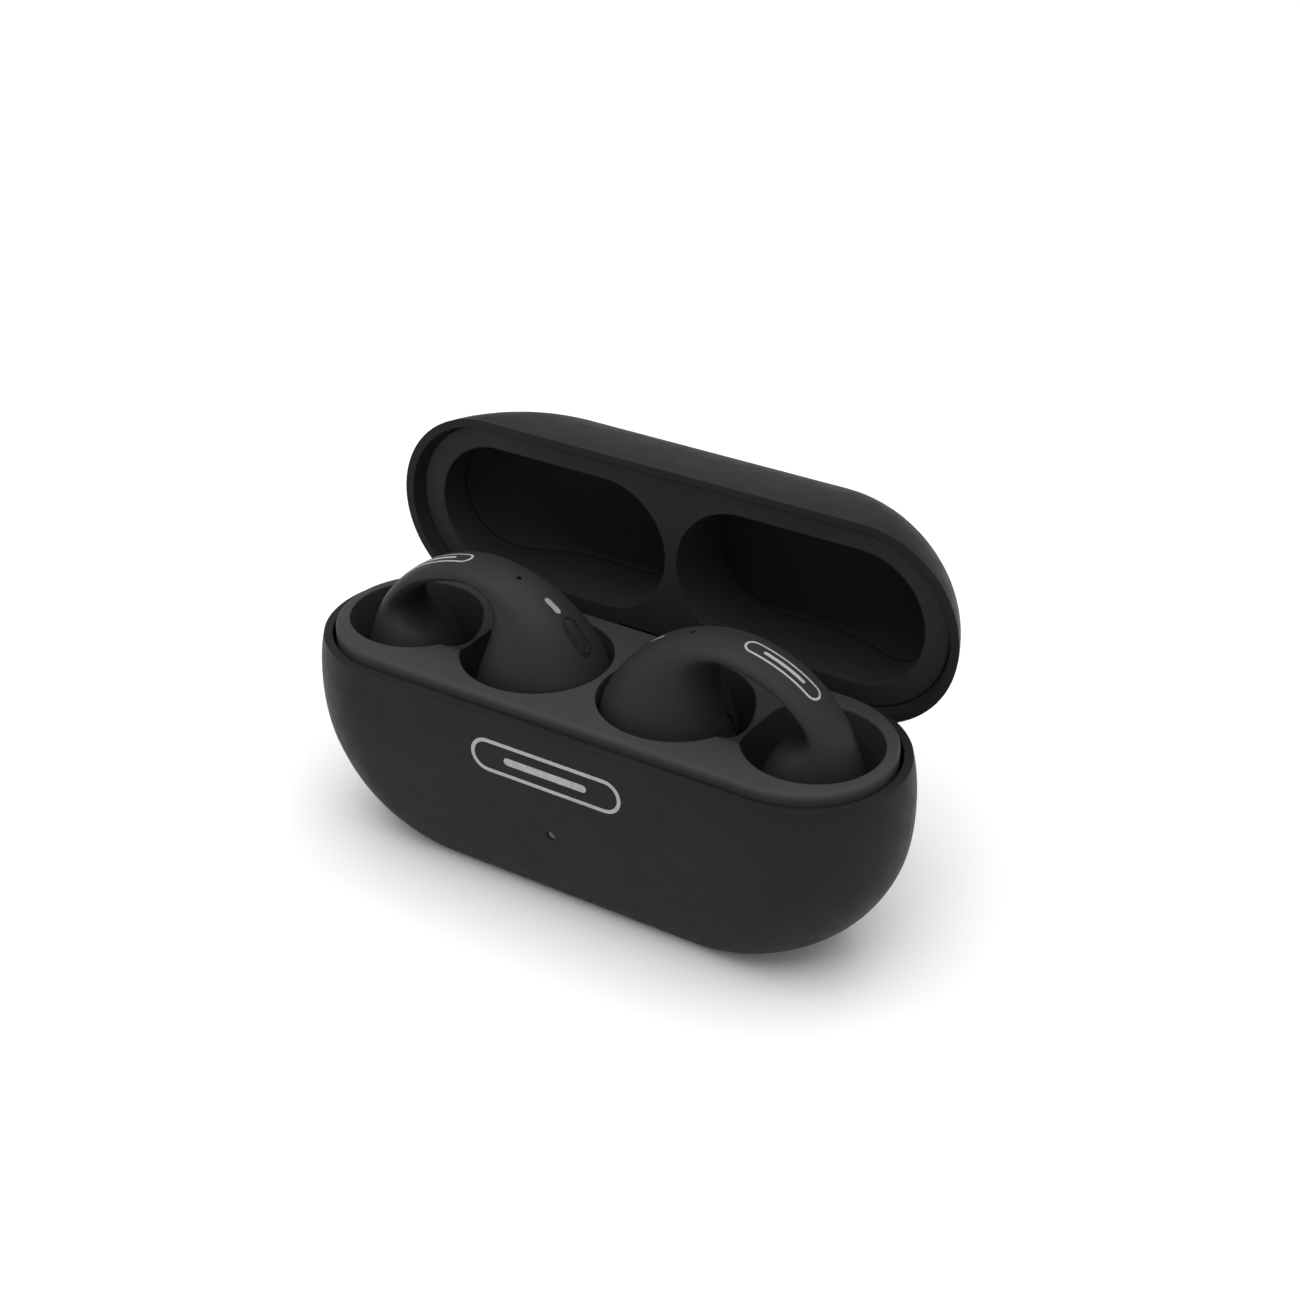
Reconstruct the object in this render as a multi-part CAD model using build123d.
"""Charging case with a pair of clip-on ear cuffs, lid open.

Frame: millimetres, +Z up, the case's front faces -Y.  The origin is the middle
of the flat face that the case rests on.
"""
import os
from math import cos, hypot, pi, radians, sin, sqrt

from build123d import *

os.makedirs("parts", exist_ok=True)

# ---- case outside ------------------------------------------------------------
LENGTH = 80.0            # between the tips of the two rounded ends
DEPTH = 27.0             # theoretical depth before the faces curve in
HEIGHT = 39.5            # closed height
PARTING = 26.6           # height where the lid meets the base
PARTING_GAP = 0.1
END_IN, END_UP = 18.5, 19.0            # quarter ellipse under each end
END_TOP_IN, END_TOP_DOWN = 17.0, 18.5  # quarter ellipse over each end
FACE_IN, FACE_UP = 6.6, 30.0           # quarter ellipse of the lower face
FACE_TOP_IN, FACE_TOP_DOWN = 4.2, 25.0
BASE_WALL = 1.2
LID_WALL = 1.0
LID_TOP_WALL = 0.8
ARC_STEPS = 8            # sections lofted along each quarter ellipse

# ---- tray and wells ----------------------------------------------------------
TRAY_TOP = PARTING + 1.3
TRAY_INSET = 1.5         # tray lip inside the outer surface
TRAY_PLATE = 1.5
TRAY_SKIRT = 3.2         # depth of the lip below the parting plane
LIP_ROUND = 0.6
WELL_FLOOR = 15.4
WELL_WALL = 0.9
WELL_ROUND = 5.0
INNER_WELL_X, INNER_WELL_R = 9.8, 9.4
OUTER_WELL_X, OUTER_WELL_R = 28.0, 8.3
SADDLE_DIP, SADDLE_HALF = 1.3, 4.6     # dip of the bridge between the wells

# ---- hinge -------------------------------------------------------------------
HINGE_Y, HINGE_Z = 11.5, 24.9
BARREL_R = 1.4
PIN_R = 0.5
LID_KNUCKLE_HALF = 7.0
HINGE_HALF = 11.0
HINGE_GAP = 0.2
OPEN_ANGLE = 90.0

# ---- lid liner ---------------------------------------------------------------
LINER_FACE = TRAY_TOP + 0.3
LINER_PLATE = 1.0
LINER_WALL = 0.8
POCKET_X, POCKET_LENGTH, POCKET_WIDTH = 17.5, 33.4, 17.6
RIB_SIZE = (8.0, 11.0)     # solid rib between the two pockets

# ---- ear cuff (right-hand one; the left is its mirror image) -------------------
RING_X, RING_Z, RING_R = 17.1, 21.1, 17.2   # circle of the cuff's outer face
# outer x, outer z, inner x, inner z, half width of each section along the cuff,
# from the speaker pod's foot over the arm to the battery pod's foot
CUFF_SECTIONS = (
    (8.2, 16.2, 9.4, 16.2, 0.6), (4.6, 17.1, 13.0, 17.1, 4.2),
    (1.6, 19.5, 16.0, 19.5, 7.2), (0.4, 23.5, 17.2, 23.5, 8.4),
    (1.2, 27.9, 16.3, 27.0, 7.6), (4.0, 32.3, 15.2, 30.0, 6.2),
    (7.2, 35.2, 14.7, 32.2, 5.0), (10.5, 37.0, 14.8, 34.0, 4.2),
    (14.0, 38.0, 15.8, 35.3, 3.7), (18.0, 38.3, 18.0, 35.9, 3.5),
    (21.9, 37.6, 21.2, 35.3, 3.5), (25.7, 36.0, 24.5, 33.9, 3.5),
    (28.8, 33.7, 26.9, 31.9, 3.5), (31.0, 31.2, 28.0, 29.9, 3.6),
    (32.3, 29.2, 27.0, 28.5, 4.0), (33.3, 27.0, 24.3, 27.0, 4.9),
    (34.1, 24.0, 22.4, 24.0, 6.0), (34.2, 21.0, 22.2, 21.0, 6.2),
    (33.0, 18.4, 23.4, 18.4, 5.0), (30.6, 16.8, 25.8, 16.8, 2.4),
    (28.7, 16.2, 27.7, 16.2, 0.5),
)
ARM_SECTIONS = (7, 12)   # listed sections where the arm starts and ends
SECTION_STEPS = 3
OVAL_POINTS = 12
SPEAKER_X, SPEAKER_Z = 8.9, 23.6
SPEAKER_ROOM = (6.2, 10.6, 3.0)        # radius, height and edge rounding of the hollow
CELL_X, CELL_Z = 28.2, 22.2
CELL_ROOM = (4.2, 6.4, 1.5)
WINDOW_ANGLES = (120.5, 129.0)
BUTTON_ANGLES = (131.5, 150.0)
BUTTON_WIDTH, BUTTON_DEPTH, BUTTON_GAP = 2.2, 1.0, 0.12
BUTTON_FLUSH = 0.12      # key top below the highest point of the skin
BUTTON_TRAVEL = 0.25
WINDOW_WIDTH, WINDOW_DEPTH, WINDOW_FLUSH = 0.9, 1.0, 0.05
MIC_ANGLE = 107.0

# ---- charging contacts ---------------------------------------------------------
CONTACT_X, CONTACT_PITCH, CONTACT_R = 8.8, 3.0, 0.8
CONTACT_Z = 16.3
PLUNGER_R, PLUNGER_FOOT = 0.45, 12.1
CONTACT_CLEAR = 0.1

# ---- electronics ---------------------------------------------------------------
BOARD_Z, BOARD_T = 10.4, 0.8
BOARD_SIZE = (46.0, 17.6)
BOARD_Y = 0.6
BATTERY_SIZE = (40.0, 14.0, 6.2)
BATTERY_Z = 2.6
USB_SIZE = (8.9, 7.3, 3.2)
LIGHT_Z, LIGHT_R = 11.9, 0.55
SCREW_X, SCREW_Y = 21.6, 6.6
MAGNET_X, MAGNET_Y = 18.9, 10.4
MAGNET_SIZE = (8.0, 1.4, 2.2)


def write(name, shape):
    """Save one sub-part."""
    shape.label = name
    export_step(shape, f"parts/{name}.step")


def joined(*shapes):
    """Keep separate solids together in one node."""
    solids = [solid for shape in shapes for solid in shape.solids()]
    return Compound(children=solids)


def ellipse_inset(distance, inward, run):
    """How far a quarter ellipse steps in, at a distance from its end."""
    share = max(0.0, (run - distance) / run)
    return inward * (1 - sqrt(1 - share * share))


def half_length(z):
    """Half length of the case at a height."""
    low = ellipse_inset(z, END_IN, END_UP)
    high = ellipse_inset(HEIGHT - z, END_TOP_IN, END_TOP_DOWN)
    return LENGTH / 2 - low - high


def half_depth(z):
    """Half depth of the case at a height."""
    low = ellipse_inset(z, FACE_IN, FACE_UP)
    high = ellipse_inset(HEIGHT - z, FACE_TOP_IN, FACE_TOP_DOWN)
    return DEPTH / 2 - low - high


def stadium(z, inset, level=None):
    """Outline of the case at a height, moved inwards."""
    outline = SlotOverall(2 * (half_length(z) - inset), 2 * (half_depth(z) - inset))
    return Pos(0, 0, z if level is None else level) * outline


def case_body(inset, bottom, top):
    """The closed case as one smooth solid, moved inwards, from bottom to top."""
    angles = [pi / 2 * step / ARC_STEPS for step in range(ARC_STEPS + 1)]
    low = [END_UP * (1 - cos(angle)) for angle in angles]
    high = [HEIGHT - END_TOP_DOWN * (1 - cos(angle)) for angle in reversed(angles)]
    sections = []
    for z in low + high:
        level = bottom + (top - bottom) * z / HEIGHT
        sections.append(stadium(z, inset, level))
    return loft(sections)


def slab(low, high):
    """A block wider than the case between two heights."""
    return Pos(0, 0, (low + high) / 2) * Box(2 * LENGTH, 2 * LENGTH, high - low)


def bar_x(radius, x_from, x_to, y, z):
    """A round bar along X."""
    middle = (x_from + x_to) / 2
    return Pos(middle, y, z) * Rot(0, 90, 0) * Cylinder(radius, x_to - x_from)


def bar_y(radius, y_from, y_to, x, z):
    """A round bar along Y."""
    middle = (y_from + y_to) / 2
    return Pos(x, middle, z) * Rot(90, 0, 0) * Cylinder(radius, y_to - y_from)


def bar_z(radius, z_from, z_to, x, y):
    """A round bar along Z."""
    return Pos(x, y, (z_from + z_to) / 2) * Cylinder(radius, z_to - z_from)


def block(size, centre):
    """A plain box about its centre."""
    return Pos(*centre) * Box(*size)


def both_sides(shape):
    """A shape and its mirror image across the middle of the case."""
    return joined(shape, mirror(shape, about=Plane.YZ))


def opened(shape):
    """Turn a piece modelled on the closed lid to the open position."""
    axis = Axis((0, HINGE_Y, HINGE_Z), (-1, 0, 0))
    return shape.rotate(axis, OPEN_ANGLE)


outside = case_body(0, 0, HEIGHT)


# ---- base shell ------------------------------------------------------------------
def usb_mouth(grow, y_from, y_to):
    """Rounded opening of the charging socket."""
    width, _, height = USB_SIZE
    z = BOARD_Z + BOARD_T + height / 2
    sketch = Plane(origin=(0, y_from, z), z_dir=(0, 1, 0), x_dir=(1, 0, 0))
    outline = sketch * SlotOverall(width + 2 * grow, height + 2 * grow)
    return extrude(outline, y_to - y_from)


def hinge_relief():
    """Rear rim and hinge notch that the lid swings through."""
    rim = block((2 * LENGTH, 3.0, 3.0), (0, HINGE_Y + 1.5, HINGE_Z + 1.5))
    rim -= bar_x(BARREL_R + 0.15, -LENGTH, LENGTH, HINGE_Y, HINGE_Z)
    notch_half = HINGE_HALF + HINGE_GAP
    notch_z = HINGE_Z - BARREL_R - 0.3
    notch = block((2 * notch_half, 4.0, 6.0), (0, HINGE_Y + 0.3, notch_z + 3.0))
    return rim, notch


def board_posts():
    """Four posts that carry the main board."""
    posts = []
    for x in (-SCREW_X, SCREW_X):
        for y in (-SCREW_Y, SCREW_Y):
            post = bar_z(1.4, 1.0, BOARD_Z, x, y + BOARD_Y)
            posts.append(post - bar_z(0.6, BOARD_Z - 4.0, BOARD_Z, x, y + BOARD_Y))
    return posts


def base_shell():
    rim_z = PARTING - PARTING_GAP / 2
    inside = case_body(BASE_WALL, BASE_WALL, HEIGHT) & slab(0, PARTING + 1)
    shell = (outside & slab(-1, rim_z)) - inside
    for post in board_posts():
        shell += post & outside
    rim, notch = hinge_relief()
    shell -= rim
    shell -= notch
    shell -= usb_mouth(0.25, 8.0, DEPTH)
    shell -= bar_y(LIGHT_R + 0.05, -DEPTH, -8.0, 0, LIGHT_Z)
    return shell


# ---- inner tray --------------------------------------------------------------------
def well(x, radius, grow):
    """Round well with a rounded floor, or its outer wall."""
    floor = WELL_FLOOR - grow
    cup = bar_z(radius + grow, floor, TRAY_TOP, x, 0)
    return fillet(cup.edges().sort_by(Axis.Z)[0], WELL_ROUND)


def saddle():
    """Soft channel that lets the bridge between two wells dip."""
    radius = (SADDLE_HALF**2 + SADDLE_DIP**2) / (2 * SADDLE_DIP)
    centre_x = (INNER_WELL_X + INNER_WELL_R + OUTER_WELL_X - OUTER_WELL_R) / 2
    length = 6.0
    level = TRAY_TOP + radius - SADDLE_DIP
    return bar_x(radius, centre_x - length / 2, centre_x + length / 2, 0, level)


def tray_lip():
    """The raised lip and skirt that fit inside the base shell."""
    outline = stadium(PARTING, TRAY_INSET, PARTING - TRAY_SKIRT)
    height = TRAY_TOP - PARTING + TRAY_SKIRT
    plug = extrude(outline, height)
    plug = fillet(plug.edges().group_by(Axis.Z)[-1], LIP_ROUND)
    inner = stadium(PARTING, TRAY_INSET + 1.1, PARTING - TRAY_SKIRT)
    return plug - extrude(inner, height - TRAY_PLATE)


def tray_magnet_z():
    """Middle height of the magnets glued under the tray's front edge."""
    return TRAY_TOP - TRAY_PLATE - MAGNET_SIZE[2] / 2 - 0.05


def inner_tray():
    tray = tray_lip()
    for side in (-1, 1):
        tray += well(side * INNER_WELL_X, INNER_WELL_R, WELL_WALL) & slab(0, TRAY_TOP - 0.2)
        tray += well(side * OUTER_WELL_X, OUTER_WELL_R, WELL_WALL) & slab(0, TRAY_TOP - 0.2)
    for side in (-1, 1):
        tray -= well(side * INNER_WELL_X, INNER_WELL_R, 0)
        tray -= well(side * OUTER_WELL_X, OUTER_WELL_R, 0)
        for pin in (-1, 1):
            x = side * CONTACT_X + pin * CONTACT_PITCH / 2
            tray -= bar_z(0.85, 12.0, WELL_FLOOR + 0.5, x, 0)
    tray -= both_sides(saddle())
    opening_half = HINGE_HALF + HINGE_GAP
    low = PARTING - TRAY_SKIRT - 1
    high = TRAY_TOP - TRAY_PLATE
    tray -= block((2 * opening_half, 4.0, high - low), (0, HINGE_Y + 0.3, (high + low) / 2))
    tray -= block((2 * (LID_KNUCKLE_HALF + HINGE_GAP), 2.0, 6.0), (0, HINGE_Y + 0.85, TRAY_TOP))
    magnet_room = [side + 0.1 for side in MAGNET_SIZE]
    tray -= both_sides(block(magnet_room, (MAGNET_X, -MAGNET_Y, tray_magnet_z())))
    knuckle = bar_x(BARREL_R, LID_KNUCKLE_HALF + HINGE_GAP, HINGE_HALF, HINGE_Y, HINGE_Z)
    web_size = (HINGE_HALF - LID_KNUCKLE_HALF - HINGE_GAP, 1.4, TRAY_TOP - 1.0 - HINGE_Z)
    web_x = (HINGE_HALF + LID_KNUCKLE_HALF + HINGE_GAP) / 2
    web = block(web_size, (web_x, HINGE_Y - 0.7, (TRAY_TOP - 1.0 + HINGE_Z) / 2))
    tray += both_sides(knuckle + web).solids()
    tray -= bar_x(PIN_R + 0.02, -HINGE_HALF - 1, HINGE_HALF + 1, HINGE_Y, HINGE_Z)
    return tray


# ---- lid -----------------------------------------------------------------------------
def lid_room(gap):
    """Space inside the lid shell, less a gap."""
    room = case_body(LID_WALL + gap, 0, HEIGHT - LID_TOP_WALL - gap)
    return room & slab(PARTING - 1, HEIGHT)


def lid_shell():
    shell = (outside & slab(PARTING + PARTING_GAP / 2, HEIGHT + 1)) - lid_room(0)
    rear = half_depth(PARTING)
    top = PARTING + 1.4
    web_size = (2 * LID_KNUCKLE_HALF, rear - HINGE_Y, top - HINGE_Z)
    web = block(web_size, (0, (rear + HINGE_Y) / 2, (top + HINGE_Z) / 2))
    shell += web & outside
    shell += bar_x(BARREL_R, -LID_KNUCKLE_HALF, LID_KNUCKLE_HALF, HINGE_Y, HINGE_Z)
    shell -= bar_x(PIN_R + 0.05, -LENGTH, LENGTH, HINGE_Y, HINGE_Z)
    return shell


def pocket_outline(x, grow, level):
    """Outline of the lid recess that a cuff fits into, grown outward."""
    return Pos(x, 0, level) * SlotOverall(POCKET_LENGTH + 2 * grow, POCKET_WIDTH + 2 * grow)


def lid_liner():
    """Plate across the lid's mouth, with a wall round each pocket and a solid rib between them."""
    liner = lid_room(0.1) & slab(LINER_FACE, HEIGHT)
    level = LINER_FACE + LINER_PLATE
    rims = pocket_outline(POCKET_X, LINER_WALL, level)
    rims += pocket_outline(-POCKET_X, LINER_WALL, level)
    rims += Pos(0, 0, level) * Rectangle(*RIB_SIZE)
    around = Pos(0, 0, level) * Rectangle(2 * LENGTH, 2 * DEPTH) - rims
    liner -= extrude(around, HEIGHT)
    for x in (-POCKET_X, POCKET_X):
        liner -= extrude(pocket_outline(x, 0, LINER_FACE - 1), HEIGHT)
    liner -= block((2 * LID_KNUCKLE_HALF + 1, 2.0, 4.0), (0, HINGE_Y + 0.4, LINER_FACE))
    return liner


def lid_magnets():
    low = LINER_FACE + LINER_PLATE + 0.05
    size = MAGNET_SIZE
    return both_sides(block(size, (MAGNET_X, -MAGNET_Y, low + size[2] / 2)))


# ---- ear cuff --------------------------------------------------------------------------
def between(values, share):
    """Smooth curve between the middle two of four values."""
    a, b, c, d = values
    slope_b, slope_c = (c - a) / 2, (d - b) / 2
    bend = 3 * (c - b) - 2 * slope_b - slope_c
    twist = 2 * (b - c) + slope_b + slope_c
    return b + share * (slope_b + share * (bend + share * twist))


def cuff_sections():
    """The listed sections with smooth steps between them."""
    last = len(CUFF_SECTIONS) - 1
    rows = []
    for index in range(last):
        four = [CUFF_SECTIONS[min(max(index + step, 0), last)] for step in (-1, 0, 1, 2)]
        for step in range(SECTION_STEPS):
            share = step / SECTION_STEPS
            rows.append([between(values, share) for values in zip(*four)])
    return rows + [list(CUFF_SECTIONS[-1])]


def cuff_section(outer_x, outer_z, inner_x, inner_z, half_width):
    """Oval outline across the cuff."""
    half_thick = hypot(outer_x - inner_x, outer_z - inner_z) / 2
    centre = ((outer_x + inner_x) / 2, 0, (outer_z + inner_z) / 2)
    along = (outer_z - inner_z, 0, inner_x - outer_x)
    plane = Plane(origin=centre, x_dir=(0, 1, 0), z_dir=along)
    turns = [2 * pi * step / OVAL_POINTS for step in range(OVAL_POINTS)]
    points = [(half_width * cos(turn), half_thick * sin(turn)) for turn in turns]
    return Wire([plane * Spline(*points, periodic=True)])


def cuff_body():
    """Outer form of the cuff: two pods joined by a flat, bowed arm."""
    outlines = [cuff_section(*row) for row in cuff_sections()]
    arm_from, arm_to = (SECTION_STEPS * section for section in ARM_SECTIONS)
    speaker_pod = Solid.make_loft(outlines[:arm_from + 1], ruled=True)
    arm = Solid.make_loft(outlines[arm_from:arm_to + 1], ruled=True)
    battery_pod = Solid.make_loft(outlines[arm_to:], ruled=True)
    return speaker_pod + arm + battery_pod


def ring_point(angle, radius):
    """Point of the cuff's mid plane at an angle on a circle about the ring centre."""
    return (RING_X + radius * cos(radians(angle)), 0, RING_Z + radius * sin(radians(angle)))


def ring_disc(radius):
    """Round block about the ring centre, used to curve what sits on the face."""
    return bar_y(radius, -10, 10, RING_X, RING_Z)


def face_key(angles, width, top, bottom):
    """Round-ended key in the cuff's outer face, between two depths below the ring."""
    start, end = angles
    middle = (start + end) / 2
    chord = 2 * RING_R * sin(radians((end - start) / 2))
    outward = (cos(radians(middle)), 0, sin(radians(middle)))
    face = Plane(origin=ring_point(middle, RING_R + 2), x_dir=(0, 1, 0), z_dir=outward)
    key = extrude(face * Rot(0, 0, 90) * SlotOverall(chord, width), -6)
    return (key & ring_disc(RING_R - top)) - ring_disc(RING_R - bottom)


def hollow(radius, height, rounding):
    """Room inside a pod."""
    drum = Cylinder(radius, height)
    return fillet(drum.edges(), rounding)


def contact_pads():
    pads = []
    for pin in (-1, 1):
        x = CONTACT_X + pin * CONTACT_PITCH / 2
        pads.append(bar_z(CONTACT_R, CONTACT_Z, 17.6, x, 0))
    return joined(*pads)


def cuff_parts():
    """Every piece of the right-hand cuff, by name."""
    body = cuff_body()
    skin = body - Pos(SPEAKER_X, 0, SPEAKER_Z) * hollow(*SPEAKER_ROOM)
    skin -= Pos(CELL_X, 0, CELL_Z) * hollow(*CELL_ROOM)
    pocket_width = BUTTON_WIDTH + 2 * BUTTON_GAP
    button_low = BUTTON_FLUSH + BUTTON_DEPTH
    skin -= face_key(BUTTON_ANGLES, pocket_width, -1.0, button_low + BUTTON_TRAVEL + 0.1)
    button = face_key(BUTTON_ANGLES, BUTTON_WIDTH, BUTTON_FLUSH, button_low)
    skin -= face_key(WINDOW_ANGLES, WINDOW_WIDTH, -1.0, WINDOW_DEPTH)
    window = face_key(WINDOW_ANGLES, WINDOW_WIDTH, WINDOW_FLUSH, WINDOW_DEPTH)
    mic_axis = ring_point(MIC_ANGLE, RING_R)
    mic_out = (cos(radians(MIC_ANGLE)), 0, sin(radians(MIC_ANGLE)))
    mic = Plane(origin=mic_axis, z_dir=mic_out)
    skin -= extrude(mic * Circle(0.35), -0.8) + extrude(mic * Circle(0.35), 0.8)
    pads = contact_pads()
    for pad in pads.solids():
        skin -= pad
    nozzle_out = (cos(radians(12)), 0, sin(radians(12)))
    nozzle = Plane(origin=(SPEAKER_X, 0, SPEAKER_Z), z_dir=nozzle_out)
    mouth = nozzle.offset(5.0) * Circle(2.4)
    skin -= extrude(mouth, 6.0)
    mesh = extrude(nozzle.offset(7.0) * Circle(2.4), 0.4)
    driver = extrude(nozzle.offset(0.6) * Circle(4.4), 2.6)
    driver += extrude(nozzle.offset(3.2) * Circle(3.4), 1.2)
    board = block((0.8, 9.0, 8.0), (SPEAKER_X - 2.6, 0, SPEAKER_Z))
    magnet = bar_z(2.2, 18.45, 19.35, SPEAKER_X, 0)
    cell = bar_z(3.4, CELL_Z - 2.0, CELL_Z + 2.0, CELL_X, 0)
    return {
        "skin": skin,
        "button": button,
        "light_window": window,
        "contact_pads": pads,
        "speaker_driver": driver,
        "sound_mesh": mesh,
        "circuit_board": board,
        "holding_magnet": magnet,
        "battery_cell": cell,
    }


# ---- electronics in the case ----------------------------------------------------------
def main_board():
    board = block((*BOARD_SIZE, BOARD_T), (0, BOARD_Y, BOARD_Z + BOARD_T / 2))
    for x in (-SCREW_X, SCREW_X):
        for y in (-SCREW_Y, SCREW_Y):
            board -= bar_z(0.8, BOARD_Z - 1, BOARD_Z + 2, x, y + BOARD_Y)
    return board


def board_screws():
    screws = []
    top = BOARD_Z + BOARD_T
    for x in (-SCREW_X, SCREW_X):
        for y in (-SCREW_Y, SCREW_Y):
            shank = bar_z(0.55, BOARD_Z - 3.0, top, x, y + BOARD_Y)
            head = bar_z(1.2, top, top + 0.7, x, y + BOARD_Y)
            cross = block((1.4, 0.3, 0.4), (x, y + BOARD_Y, top + 0.7))
            screws.append(shank + head - cross)
    return joined(*screws)


def usb_receptacle():
    """Metal socket: a rounded tube with a closed back and a contact tongue."""
    top = BOARD_Z + BOARD_T
    mouth_y = half_depth(top + USB_SIZE[2] / 2) - 0.5
    back_y = mouth_y - USB_SIZE[1]
    tube = usb_mouth(-0.02, back_y, mouth_y) - usb_mouth(-0.35, back_y + 1.2, mouth_y)
    tongue = block((6.2, 5.0, 0.7), (0, back_y + 3.4, top + USB_SIZE[2] / 2))
    return tube + tongue


def charging_block():
    """Insulator that holds two sprung pins under a well."""
    top = BOARD_Z + BOARD_T
    body = block((6.6, 3.2, 2.9), (CONTACT_X, 0, top + 1.45))
    for pin in (-1, 1):
        x = CONTACT_X + pin * CONTACT_PITCH / 2
        body += bar_z(0.75, top + 2.9, WELL_FLOOR - 0.2, x, 0)
        body -= bar_z(PLUNGER_R + 0.05, top + 0.2, WELL_FLOOR, x, 0)
    return body


def charging_pins(side):
    """Two sprung plungers whose tips stand just under a cuff's pads."""
    pins = []
    tip = CONTACT_Z - CONTACT_CLEAR
    for pin in (-1, 1):
        x = side * CONTACT_X + pin * CONTACT_PITCH / 2
        plunger = bar_z(PLUNGER_R, PLUNGER_FOOT, tip, x, 0)
        pins.append(fillet(plunger.edges().sort_by(Axis.Z)[-1], 0.3))
    return joined(*pins)


def light_parts():
    front = half_depth(LIGHT_Z)
    led_y = -(BOARD_SIZE[1] / 2 - BOARD_Y) + 0.6
    pipe = bar_y(LIGHT_R, -front + 0.25, led_y - 0.6, 0, LIGHT_Z)
    led = block((1.6, 0.8, 0.8), (0, led_y, BOARD_Z + BOARD_T + 0.4))
    return pipe, led


def chips():
    top = BOARD_Z + BOARD_T
    processor = block((5.0, 5.0, 0.9), (-2.0, -3.0, top + 0.45))
    charger = block((3.0, 3.0, 0.8), (15.6, -5.4, top + 0.4))
    coil = block((3.0, 3.0, 1.4), (15.6, 6.0, top + 0.7))
    sensor = block((2.9, 1.6, 1.1), (-16.0, -6.4, top + 0.55))
    return processor, charger, coil, sensor


# ---- write every sub-part ---------------------------------------------------------------
write("base_shell", base_shell())
write("inner_tray", inner_tray())
write("lid_shell", opened(lid_shell()))
write("lid_liner", opened(lid_liner()))
write("lid_magnets", opened(lid_magnets()))
write("hinge_pin", bar_x(PIN_R, -HINGE_HALF, HINGE_HALF, HINGE_Y, HINGE_Z))

tray_magnet = block(MAGNET_SIZE, (MAGNET_X, -MAGNET_Y, tray_magnet_z()))
write("tray_magnets", both_sides(tray_magnet))
well_bottom = WELL_FLOOR - WELL_WALL
well_magnet = bar_z(2.5, well_bottom - 1.55, well_bottom - 0.05, OUTER_WELL_X, 0)
write("well_magnets", both_sides(well_magnet))

write("main_board", main_board())
write("board_screws", board_screws())
battery_centre = (0, 0, BATTERY_Z + BATTERY_SIZE[2] / 2)
battery_box = fillet(Box(*BATTERY_SIZE).edges().filter_by(Axis.X), 1.2)
write("battery", Pos(*battery_centre) * battery_box)
pad_low = BASE_WALL + 0.05
pad_height = BATTERY_Z - 0.05 - pad_low
write("battery_adhesive_pad", block((34.0, 10.0, pad_height), (0, 0, pad_low + pad_height / 2)))
write("usb_c_receptacle", usb_receptacle())
write("charging_pin_blocks", both_sides(charging_block()))
write("left_charging_pins", charging_pins(-1))
write("right_charging_pins", charging_pins(1))

light_pipe, status_led = light_parts()
write("status_light_pipe", light_pipe)
write("status_led", status_led)
processor_chip, charger_chip, power_coil, lid_sensor = chips()
write("processor_chip", processor_chip)
write("charger_chip", charger_chip)
write("power_coil", power_coil)
write("lid_sensor", lid_sensor)

for piece, solid in cuff_parts().items():
    write(f"right_cuff_{piece}", solid)
    write(f"left_cuff_{piece}", mirror(solid, about=Plane.YZ))
